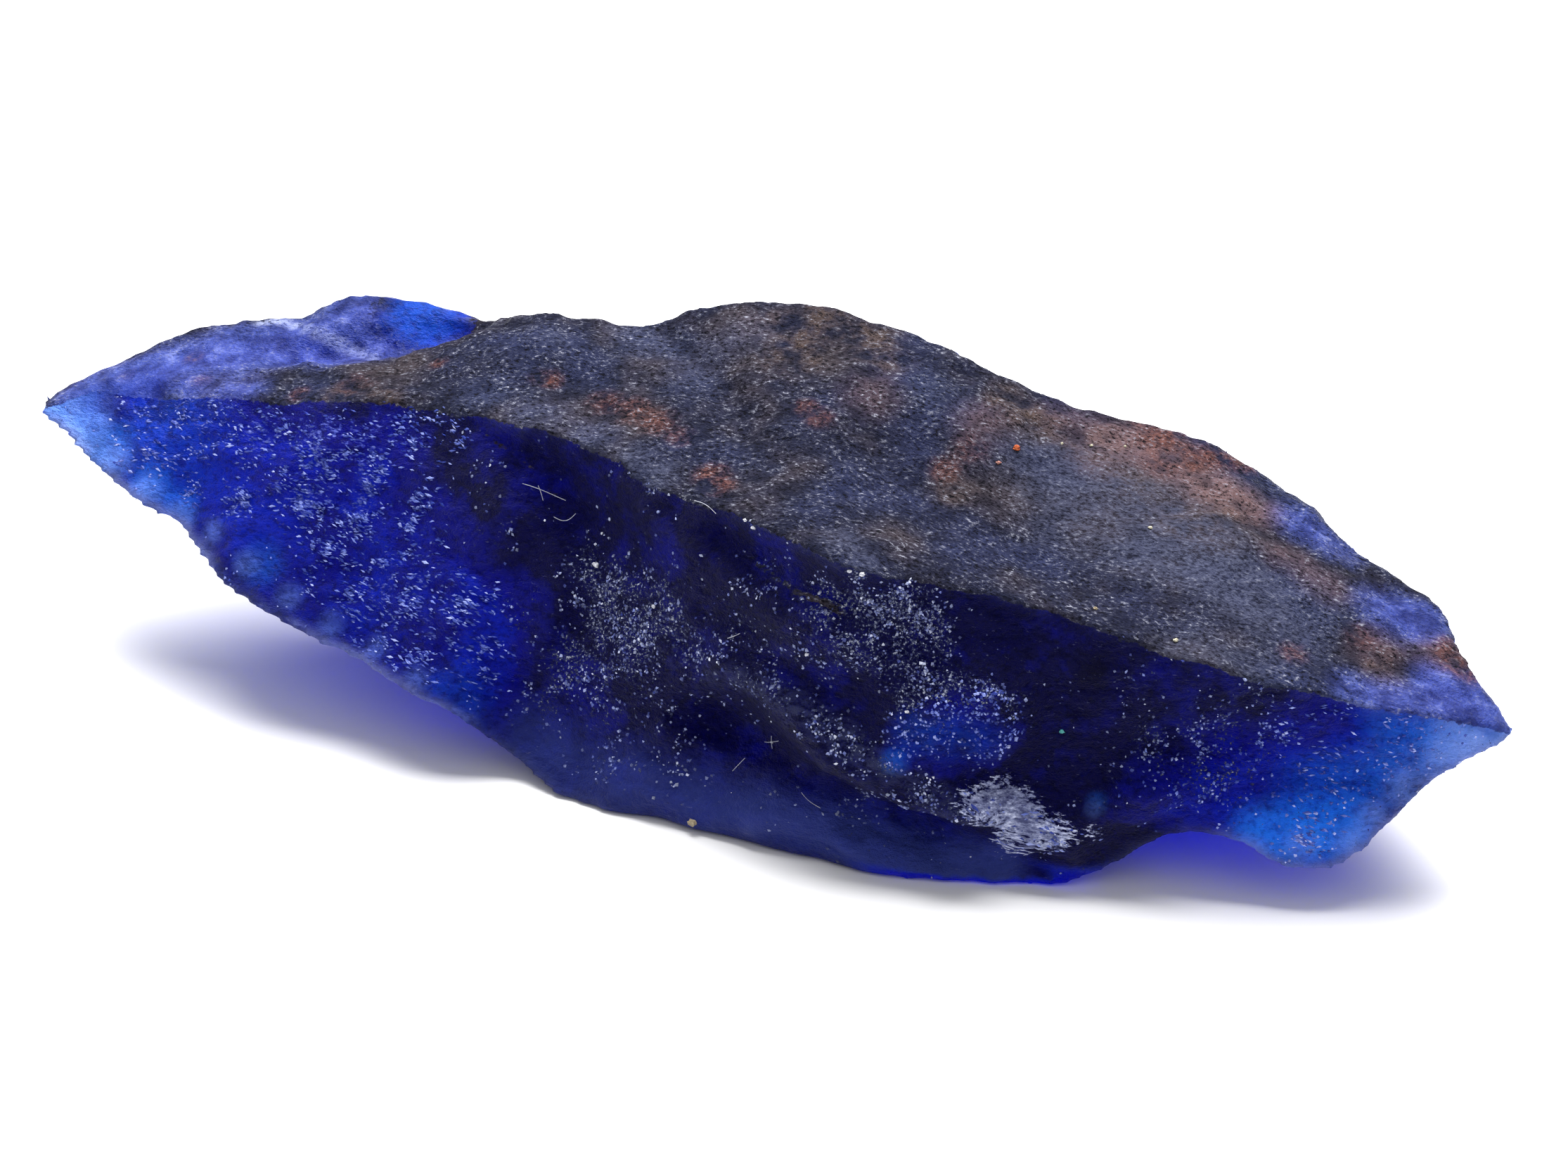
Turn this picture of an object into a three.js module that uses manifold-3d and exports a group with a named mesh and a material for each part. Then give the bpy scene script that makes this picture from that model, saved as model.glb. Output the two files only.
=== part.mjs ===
// A rough sapphire: one long, boat-shaped piece of broken corundum, resting on a flat parting face.
// Millimetres, +Z up. X runs along the stone, Y across it (the broken front face looks towards -Y).
import * as THREE from "three";
import { ImprovedNoise } from "three/addons/math/ImprovedNoise.js";
import { mergeVertices } from "three/addons/utils/BufferGeometryUtils.js";
import Module from "manifold-3d";

// Driving dimensions
const LENGTH = 66; // tip to tip
const STATIONS = 96; // cross-sections along the length
const TIP_ROUNDING = 0.35; // how far each tip's cap stands out from its last section
const EDGE_FADE = 0.07; // share of a face, beside its edges, over which relief dies away

// The stone's five long edges. Each point is [distance from the left tip, across, height].
const edges = {
  // Sharp ridge between the weathered top and the broken front
  ridge: [
    [0, -0.3, 10.1], [2.2, 0.8, 10.9], [12.4, -0.4, 12.2], [20, -0.6, 13.4], [30.4, -3.6, 13.3], [35.2, -5.2, 13.1],
    [38.5, -7.2, 12.8], [41, -7.8, 12.5], [48.7, -6.2, 11.2], [57, -5.8, 9.5], [62.2, -4.2, 8.2], [LENGTH, -2.4, 7.1],
  ],
  // Front lower edge: the rim of the overhanging left end, the foot of the belly, the rim of the right end
  keel: [
    [0, -1, 9.8], [2, -1.6, 9.1], [6.9, -4.1, 7.6], [8.6, -4.2, 7], [12.3, -6, 5.9], [18.5, -7.5, 4.2],
    [21.2, -8.4, 3.4], [24.2, -8.6, 2.4], [25.6, -8.2, 1.2], [28, -8.7, 0.2], [31, -9.4, -0.5], [37, -9.6, -0.5],
    [43, -10, -0.5], [48.5, -9, -0.2], [51.4, -8.2, 0.9], [53.4, -7.4, 2.1], [56.6, -6.7, 2.3], [58.5, -6.7, 1.9],
    [61.3, -6.1, 2.3], [63, -4.6, 4.2], [64.2, -3.7, 5.5], [LENGTH, -2.8, 6.6],
  ],
  // Rear lower edge
  heel: [
    [0, 0.5, 9.7], [6, 3, 8.2], [12, 5, 6.2], [18, 5.5, 3.4], [24, 5, 0.7], [29, 4.5, -0.5], [42, 5, -0.5],
    [47, 5.2, 0.3], [52, 5.5, 2], [58, 4, 3.8], [63, 0.8, 5.6], [LENGTH, -1.9, 6.7],
  ],
  // Widest line of the back
  back: [
    [0, 1.1, 10], [5, 6, 10.2], [10, 9, 10.3], [16, 10, 9.5], [22, 9.7, 9], [29, 11, 9.6], [35, 11.8, 9.5],
    [42, 10.8, 8.6], [48, 10.6, 8], [54, 9.8, 7.6], [59, 6.3, 7.4], [63, 2.6, 7.1], [LENGTH, -1.5, 7],
  ],
  // Skyline of the top: left lobe, saddle, plateau, main hump, shoulder and the notch near the right tip
  crest: [
    [0, 0.9, 10.3], [2.9, 3.8, 11.4], [5.4, 5.4, 12.2], [9.9, 7.4, 13], [11.2, 7.9, 13.6], [13.5, 7.9, 14],
    [16, 7.4, 13.9], [18.3, 6.9, 13.8], [20.9, 6.8, 14.6], [27.3, 6.9, 15.1], [28.8, 7.4, 15.8], [31, 7.9, 16.3],
    [33.7, 8.2, 16.4], [37.1, 7.6, 16], [43.9, 6.9, 14.6], [47.1, 6.9, 13.7], [48.5, 7.4, 13.5], [54.6, 7.4, 11.7],
    [58.2, 5, 10.4], [60.1, 4.3, 9.9], [63.4, 2.2, 8.9], [64, 0.4, 8.3], [65, -0.7, 7.7], [LENGTH, -1.9, 7.1],
  ],
};

// The faces between those edges, in order round the stone. bow is how far a face swells, as a share of its width.
const faces = [
  { name: "front", from: "ridge", to: "keel", strips: 22, bow: 0, rough: 1 },
  { name: "base", from: "keel", to: "heel", strips: 6, bow: 0, rough: 1 },
  { name: "lowerBack", from: "heel", to: "back", strips: 5, bow: 0.05, rough: 1.6 },
  { name: "upperBack", from: "back", to: "crest", strips: 5, bow: 0.08, rough: 1.5 },
  { name: "top", from: "crest", to: "ridge", strips: 12, bow: 0, rough: 0.7 },
];

// Lumps and hollows of each face. A path runs through points on that face, [distance from the left tip, height] on
// the front and back and [distance, across] on the top and base. proud is how far it stands out, below 0 a hollow.
// rim is the share of the half width over which it rises.
const relief = {
  front: [
    { name: "boss", path: [[44, 6.9], [46.6, 7.3]], halfWidth: 2.6, rim: 0.7, proud: 1.1 },
    { name: "roll", path: [[35.5, 7.4], [38.6, 6.5], [42, 4.7], [46.7, 3.9]], halfWidth: 1.6, rim: 1, proud: 1.2 },
    { name: "cheek", path: [[46.3, 3.4], [50, 2.4]], halfWidth: 2, rim: 1, proud: 1 },
    { name: "hollow", path: [[34.4, 4.6], [38, 4.2], [41, 3], [44.6, 1.9]], halfWidth: 1.5, rim: 1, proud: -1 },
    { name: "lip", path: [[31, 0.6], [36.7, 1.2], [42.4, 0.4], [47, 0]], halfWidth: 1.5, rim: 0.9, proud: 0.6 },
    { name: "chippedBench", path: [[34.4, 12.1], [37.4, 11.3], [40, 11]], halfWidth: 1.2, rim: 1, proud: -0.7 },
    { name: "brow", path: [[30.5, 12], [36, 10.2], [41.5, 9]], halfWidth: 1.4, rim: 1, proud: 0.5 },
    { name: "belly", path: [[28, 4], [33, 6]], halfWidth: 4, rim: 1, proud: 0.5 },
    { name: "darkScoop", path: [[27.5, 10.8], [31, 9.8]], halfWidth: 3, rim: 1, proud: -0.5 },
    { name: "rightScoop", path: [[54, 6.4], [59, 5.6]], halfWidth: 2.6, rim: 1, proud: -0.5 },
    { name: "rightStep", path: [[51.4, 3.6], [53.4, 4.4]], halfWidth: 1.4, rim: 1, proud: 0.6 },
  ],
  top: [
    { name: "lobeValley", path: [[19, 7.5], [16, 4.6], [11, 4]], halfWidth: 1.8, rim: 1, proud: -0.9 },
    { name: "trough", path: [[27.3, 7.2], [30.5, 4], [34, 0]], halfWidth: 1.8, rim: 1, proud: -0.6 },
    { name: "dish", path: [[41, -1], [48, -1.5]], halfWidth: 4.5, rim: 1, proud: -0.6 },
    { name: "shoulder", path: [[20, 3], [24, 3.5]], halfWidth: 3, rim: 1, proud: 0.4 },
    { name: "rightSwell", path: [[54, 1.5], [60, 0]], halfWidth: 2.6, rim: 1, proud: 0.5 },
  ],
  upperBack: [
    { name: "rearScoop", path: [[26, 12.5], [33, 13]], halfWidth: 3.2, rim: 1, proud: -1.2 },
    { name: "rearLedge", path: [[40, 11], [50, 9.6]], halfWidth: 1.3, rim: 1, proud: 0.9 },
  ],
  base: [
    { name: "leftUnderScoop", path: [[9, 0.5], [17, -1]], halfWidth: 3, rim: 1, proud: -0.9 },
    { name: "rightUnderRib", path: [[52, 2], [60, -1]], halfWidth: 2.4, rim: 1, proud: 0.8 },
  ],
  lowerBack: [
    { name: "rearFlake", path: [[15, 6], [23, 4]], halfWidth: 2.4, rim: 1, proud: -1.1 },
    { name: "rearKnob", path: [[36, 5], [39, 4.6]], halfWidth: 2.4, rim: 1, proud: 0.9 },
    { name: "rearHollow", path: [[46, 4.4], [53, 5]], halfWidth: 2, rim: 1, proud: -0.9 },
  ],
};

// The left front face is a spall that ends in a low cliff. Points are [distance from the left tip, height].
const cliff = { line: [[21, 13], [24.6, 11.2], [27, 8.4], [26.6, 5.6], [25.4, 2.6]], drop: 0.8, run: 1.6, reach: 9 };

// Uneven surface, as [size of the lumps, height of the lumps]
const lumps = [[7, 0.3], [2.6, 0.13], [1.3, 0.09]];

// The way each face's relief stands out, as [across, up]
const outward = {
  front: [-1, 0.1],
  base: [0, -1],
  lowerBack: [0.9, -0.4],
  upperBack: [0.95, 0.3],
  top: [0, 1],
};
const { clamp, lerp, smoothstep } = THREE.MathUtils;
const perlin = new ImprovedNoise();

// A curve through an edge's points that gives [across, height] at a distance from the left tip
function edgeCurve(points) {
  const distances = points.map((point) => point[0]);
  const places = points.flatMap((point) => [point[1], point[2]]);
  return new THREE.CubicInterpolant(distances, places, 2);
}

const curves = Object.fromEntries(Object.entries(edges).map(([name, points]) => [name, edgeCurve(points)]));
const cliffCurve = new THREE.LinearInterpolant(
  cliff.line.map((point) => point[1]).reverse(),
  cliff.line.map((point) => point[0]).reverse(),
  1,
);

function edgePoint(name, distance) {
  const [across, height] = curves[name].evaluate(distance);
  return new THREE.Vector2(across, height);
}

// How far a place on a face lies from a path on it
function distanceToPath(place, path) {
  const nearest = new THREE.Vector3();
  const segments = path.slice(1).map((end, i) => {
    const line = new THREE.Line3(new THREE.Vector3(...path[i], 0), new THREE.Vector3(...end, 0));
    return line.closestPointToPoint(place, true, nearest).distanceTo(place);
  });
  return Math.min(...segments);
}

// Height of the lumps and hollows of one face at a place on it
function reliefAt(faceName, distance, level) {
  const place = new THREE.Vector3(distance, level, 0);
  let height = 0;
  for (const { path, halfWidth, rim, proud } of relief[faceName]) {
    const nearness = 1 - distanceToPath(place, path) / halfWidth;
    if (nearness > 0) height += proud * smoothstep(nearness, 0, rim);
  }
  if (faceName === "front") {
    const past = distance - cliffCurve.evaluate(level)[0];
    height -= cliff.drop * smoothstep(past, 0, cliff.run) * (1 - smoothstep(past, cliff.run, cliff.reach));
  }
  return height;
}

// Unevenness at a point, different along each axis
function unevenness(point, roughness) {
  const shift = new THREE.Vector3();
  for (const [size, height] of lumps) {
    const at = point.clone().divideScalar(size);
    shift.x += height * perlin.noise(at.x + 31, at.y, at.z);
    shift.y += height * perlin.noise(at.x, at.y + 57, at.z);
    shift.z += height * perlin.noise(at.x, at.y, at.z + 83);
  }
  return shift.multiplyScalar(2 * roughness);
}

// One closed loop of points round the stone
function section(distance) {
  const loop = [];
  for (const face of faces) {
    const start = edgePoint(face.from, distance);
    const end = edgePoint(face.to, distance);
    const width = end.clone().sub(start);
    const away = new THREE.Vector2(width.y, -width.x); // points out of the stone, as long as the face is wide
    for (let strip = 0; strip < face.strips; strip++) {
      const share = strip / face.strips;
      const flat = start.clone().lerp(end, share);
      flat.addScaledVector(away, face.bow * 4 * share * (1 - share));
      const fade = clamp(Math.min(share, 1 - share) / EDGE_FADE, 0, 1);
      const level = ["top", "base"].includes(face.name) ? flat.x : flat.y;
      const [across, up] = outward[face.name];
      const height = fade === 0 ? 0 : fade * reliefAt(face.name, distance, level);
      const point = new THREE.Vector3(distance, flat.x + across * height, flat.y + up * height);
      const taper = smoothstep(Math.min(distance, LENGTH - distance), 0, 6); // calmer towards the tips
      loop.push(point.add(unevenness(point, face.rough * lerp(0.25, 1, taper))));
    }
  }
  return loop;
}

// Skins the loops into one closed surface, with a low cap on each tip
function skin(loops) {
  const around = loops[0].length;
  const points = loops.flat();
  const triangles = [];
  for (let row = 0; row + 1 < loops.length; row++) {
    for (let i = 0; i < around; i++) {
      const next = (i + 1) % around;
      const [a, b] = [row * around + i, row * around + next];
      triangles.push(a, b, a + around, b, b + around, a + around);
    }
  }
  const capEnd = (loop, firstPoint, push) => {
    const centre = loop.reduce((sum, p) => sum.add(p), new THREE.Vector3()).divideScalar(around);
    centre.x += push;
    const tip = points.push(centre) - 1;
    for (let i = 0; i < around; i++) {
      const [a, b] = [firstPoint + i, firstPoint + ((i + 1) % around)];
      triangles.push(...(push > 0 ? [tip, a, b] : [tip, b, a]));
    }
  };
  capEnd(loops[0], 0, -TIP_ROUNDING);
  capEnd(loops.at(-1), (loops.length - 1) * around, TIP_ROUNDING);
  return new THREE.BufferGeometry().setFromPoints(points).setIndex(triangles);
}

const wasm = await Module();
wasm.setup();

function solidFrom(geometry) {
  const bare = geometry.clone();
  for (const name of ["normal", "uv"]) bare.deleteAttribute(name);
  const merged = mergeVertices(bare);
  const triVerts = new Uint32Array(merged.index.array);
  const vertProperties = merged.attributes.position.array;
  return new wasm.Manifold(new wasm.Mesh({ numProp: 3, vertProperties, triVerts }));
}

function geometryFrom(solid) {
  const { vertProperties, triVerts } = solid.getMesh();
  const geometry = new THREE.BufferGeometry();
  geometry.setAttribute("position", new THREE.BufferAttribute(vertProperties, 3));
  return geometry.setIndex(new THREE.BufferAttribute(triVerts, 1));
}

// Parts the stone along height 0, which leaves the flat face that it rests on
function partAtBase(geometry) {
  const below = new THREE.BoxGeometry(2 * LENGTH, LENGTH, 20).translate(LENGTH / 2, 0, -10);
  return geometryFrom(solidFrom(geometry).subtract(solidFrom(below)));
}

function makeStone() {
  const loops = Array.from({ length: STATIONS + 1 }, (_, i) => section((LENGTH * i) / STATIONS));
  const geometry = partAtBase(skin(loops));
  geometry.computeBoundingBox();
  const middle = geometry.boundingBox.getCenter(new THREE.Vector3());
  return geometry.translate(-middle.x, -middle.y, 0); // the origin lies under the middle of the stone
}

const stone = new THREE.Mesh(
  makeStone(),
  new THREE.MeshStandardMaterial({ color: 0x161d4a, roughness: 0.6, metalness: 0 }),
);
stone.name = "rough_sapphire";

const part = new THREE.Group();
part.add(stone);

export default part;
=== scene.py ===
import math

import bpy
import numpy as np
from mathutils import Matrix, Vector, noise


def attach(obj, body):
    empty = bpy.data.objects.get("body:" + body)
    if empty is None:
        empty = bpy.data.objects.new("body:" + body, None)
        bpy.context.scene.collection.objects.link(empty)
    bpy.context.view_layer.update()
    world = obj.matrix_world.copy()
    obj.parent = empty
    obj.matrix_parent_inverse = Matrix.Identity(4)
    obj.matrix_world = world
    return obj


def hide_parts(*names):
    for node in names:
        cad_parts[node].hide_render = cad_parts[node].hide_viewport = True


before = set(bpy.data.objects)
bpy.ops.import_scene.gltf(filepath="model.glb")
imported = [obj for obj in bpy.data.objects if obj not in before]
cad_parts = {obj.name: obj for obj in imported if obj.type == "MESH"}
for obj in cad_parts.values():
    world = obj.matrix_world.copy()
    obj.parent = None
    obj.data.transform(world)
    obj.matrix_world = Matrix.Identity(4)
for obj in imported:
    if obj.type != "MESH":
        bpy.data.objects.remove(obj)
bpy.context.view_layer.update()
mm = 0.001


# camera, where the photo was taken from
photo = {"width": 2230, "height": 1652}
view = {
    "azimuth": 18,
    "elevation": 30,
    "lens": 60,
    "sensor": 36,
    "distance": 112 * mm,
    "target": (2.57 * mm, -0.9 * mm, 7 * mm),
    "nearest": 1 * mm,
    "farthest": 10,
}


def makeCamera():
    turn, rise = math.radians(view["azimuth"]), math.radians(view["elevation"])
    back = Vector((math.sin(turn) * math.cos(rise), -math.cos(turn) * math.cos(rise), math.sin(rise)))
    bpy.ops.object.camera_add(location=Vector(view["target"]) + back * view["distance"])
    camera = bpy.context.active_object
    camera.name = "photo_camera"
    camera.rotation_euler = back.to_track_quat("Z", "Y").to_euler()
    camera.data.lens = view["lens"]
    camera.data.sensor_width = view["sensor"]
    camera.data.clip_start = view["nearest"]
    camera.data.clip_end = view["farthest"]
    bpy.context.scene.camera = camera
    bpy.context.view_layer.update()
    return camera


camera = makeCamera()


# a line from the camera through a pixel of the photo
def photoRay(px, py):
    spread = view["sensor"] / view["lens"] / photo["width"]
    side, up = (px - photo["width"] / 2) * spread, (photo["height"] / 2 - py) * spread
    place = camera.matrix_world
    return place.translation.copy(), (place.to_3x3() @ Vector((side, up, -1))).normalized()


print("camera set")


def deselectAll():
    if bpy.context.object and bpy.context.object.mode != "OBJECT":
        bpy.ops.object.mode_set(mode="OBJECT")
    bpy.ops.object.select_all(action="DESELECT")


def makeActive(piece):
    deselectAll()
    piece.select_set(True)
    bpy.context.view_layer.objects.active = piece


def applyAll(piece):
    makeActive(piece)
    for modifier in list(piece.modifiers):
        bpy.ops.object.modifier_apply(modifier=modifier.name)


# the stone's surface: the solid's own shape, softened and made of even small faces
stoneSurface = {
    "weld": 0.002 * mm,
    "creaseAngle": 38,  # edges sharper than this stay sharp
    "crease": 0.75,
    "soften": 2,
    "face": 0.21 * mm,
    "settle": 0.5,
    "settlePasses": 7,
}


def makeStoneSurface():
    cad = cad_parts["rough_sapphire"]
    stone = bpy.data.objects.new("stone", cad.data.copy())
    bpy.context.scene.collection.objects.link(stone)
    stone.data.materials.clear()
    makeActive(stone)
    bpy.ops.object.mode_set(mode="EDIT")
    bpy.ops.mesh.select_all(action="SELECT")
    bpy.ops.mesh.remove_doubles(threshold=stoneSurface["weld"])
    bpy.ops.mesh.select_all(action="DESELECT")
    bpy.ops.mesh.select_mode(type="EDGE")
    bpy.ops.mesh.edges_select_sharp(sharpness=math.radians(stoneSurface["creaseAngle"]))
    bpy.ops.transform.edge_crease(value=stoneSurface["crease"])
    bpy.ops.object.mode_set(mode="OBJECT")
    soften = stone.modifiers.new("soften", "SUBSURF")
    soften.levels = soften.render_levels = stoneSurface["soften"]
    even = stone.modifiers.new("even", "REMESH")
    even.mode = "VOXEL"
    even.voxel_size = stoneSurface["face"]
    even.use_smooth_shade = True
    settle = stone.modifiers.new("settle", "SMOOTH")
    settle.factor = stoneSurface["settle"]
    settle.iterations = stoneSurface["settlePasses"]
    applyAll(stone)
    print("stone surface has", len(stone.data.polygons), "faces")
    return stone


stone = makeStoneSurface()


# a row of three numbers for each vertex
def vectorsOf(piece, what):
    flat = np.zeros(len(piece.data.vertices) * 3)
    piece.data.vertices.foreach_get(what, flat)
    return flat.reshape(-1, 3)


def pointsOf(piece):
    return vectorsOf(piece, "co")


def normalsOf(piece):
    return vectorsOf(piece, "normal")


def fadeIn(value, low, high):
    share = np.clip((value - low) / (high - low), 0, 1)
    return share * share * (3 - 2 * share)


# where the weathered top lies: faces that look up, behind the ridge
weathered = {
    "ridge": [
        (-33, -1.2), (-30.8, -0.1), (-20.6, -1.3), (-13, -1.5), (-2.6, -4.5), (2.2, -6.1),
        (5.5, -8.1), (8, -8.7), (15.7, -7.1), (24, -6.7), (29.2, -5.1), (33, -3.3),
    ],
    "allow": 0.35 * mm,  # how far in front of the ridge line it may reach
    "flat": (0.5, 0.72),
}


def weatheredShare(piece):
    points, normals = pointsOf(piece), normalsOf(piece)
    along, across = np.array(weathered["ridge"]).T * mm
    behind = points[:, 1] - np.interp(points[:, 0], along, across)
    flat = fadeIn(normals[:, 2], *weathered["flat"])
    return flat * fadeIn(behind, -weathered["allow"], 0)


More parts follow.
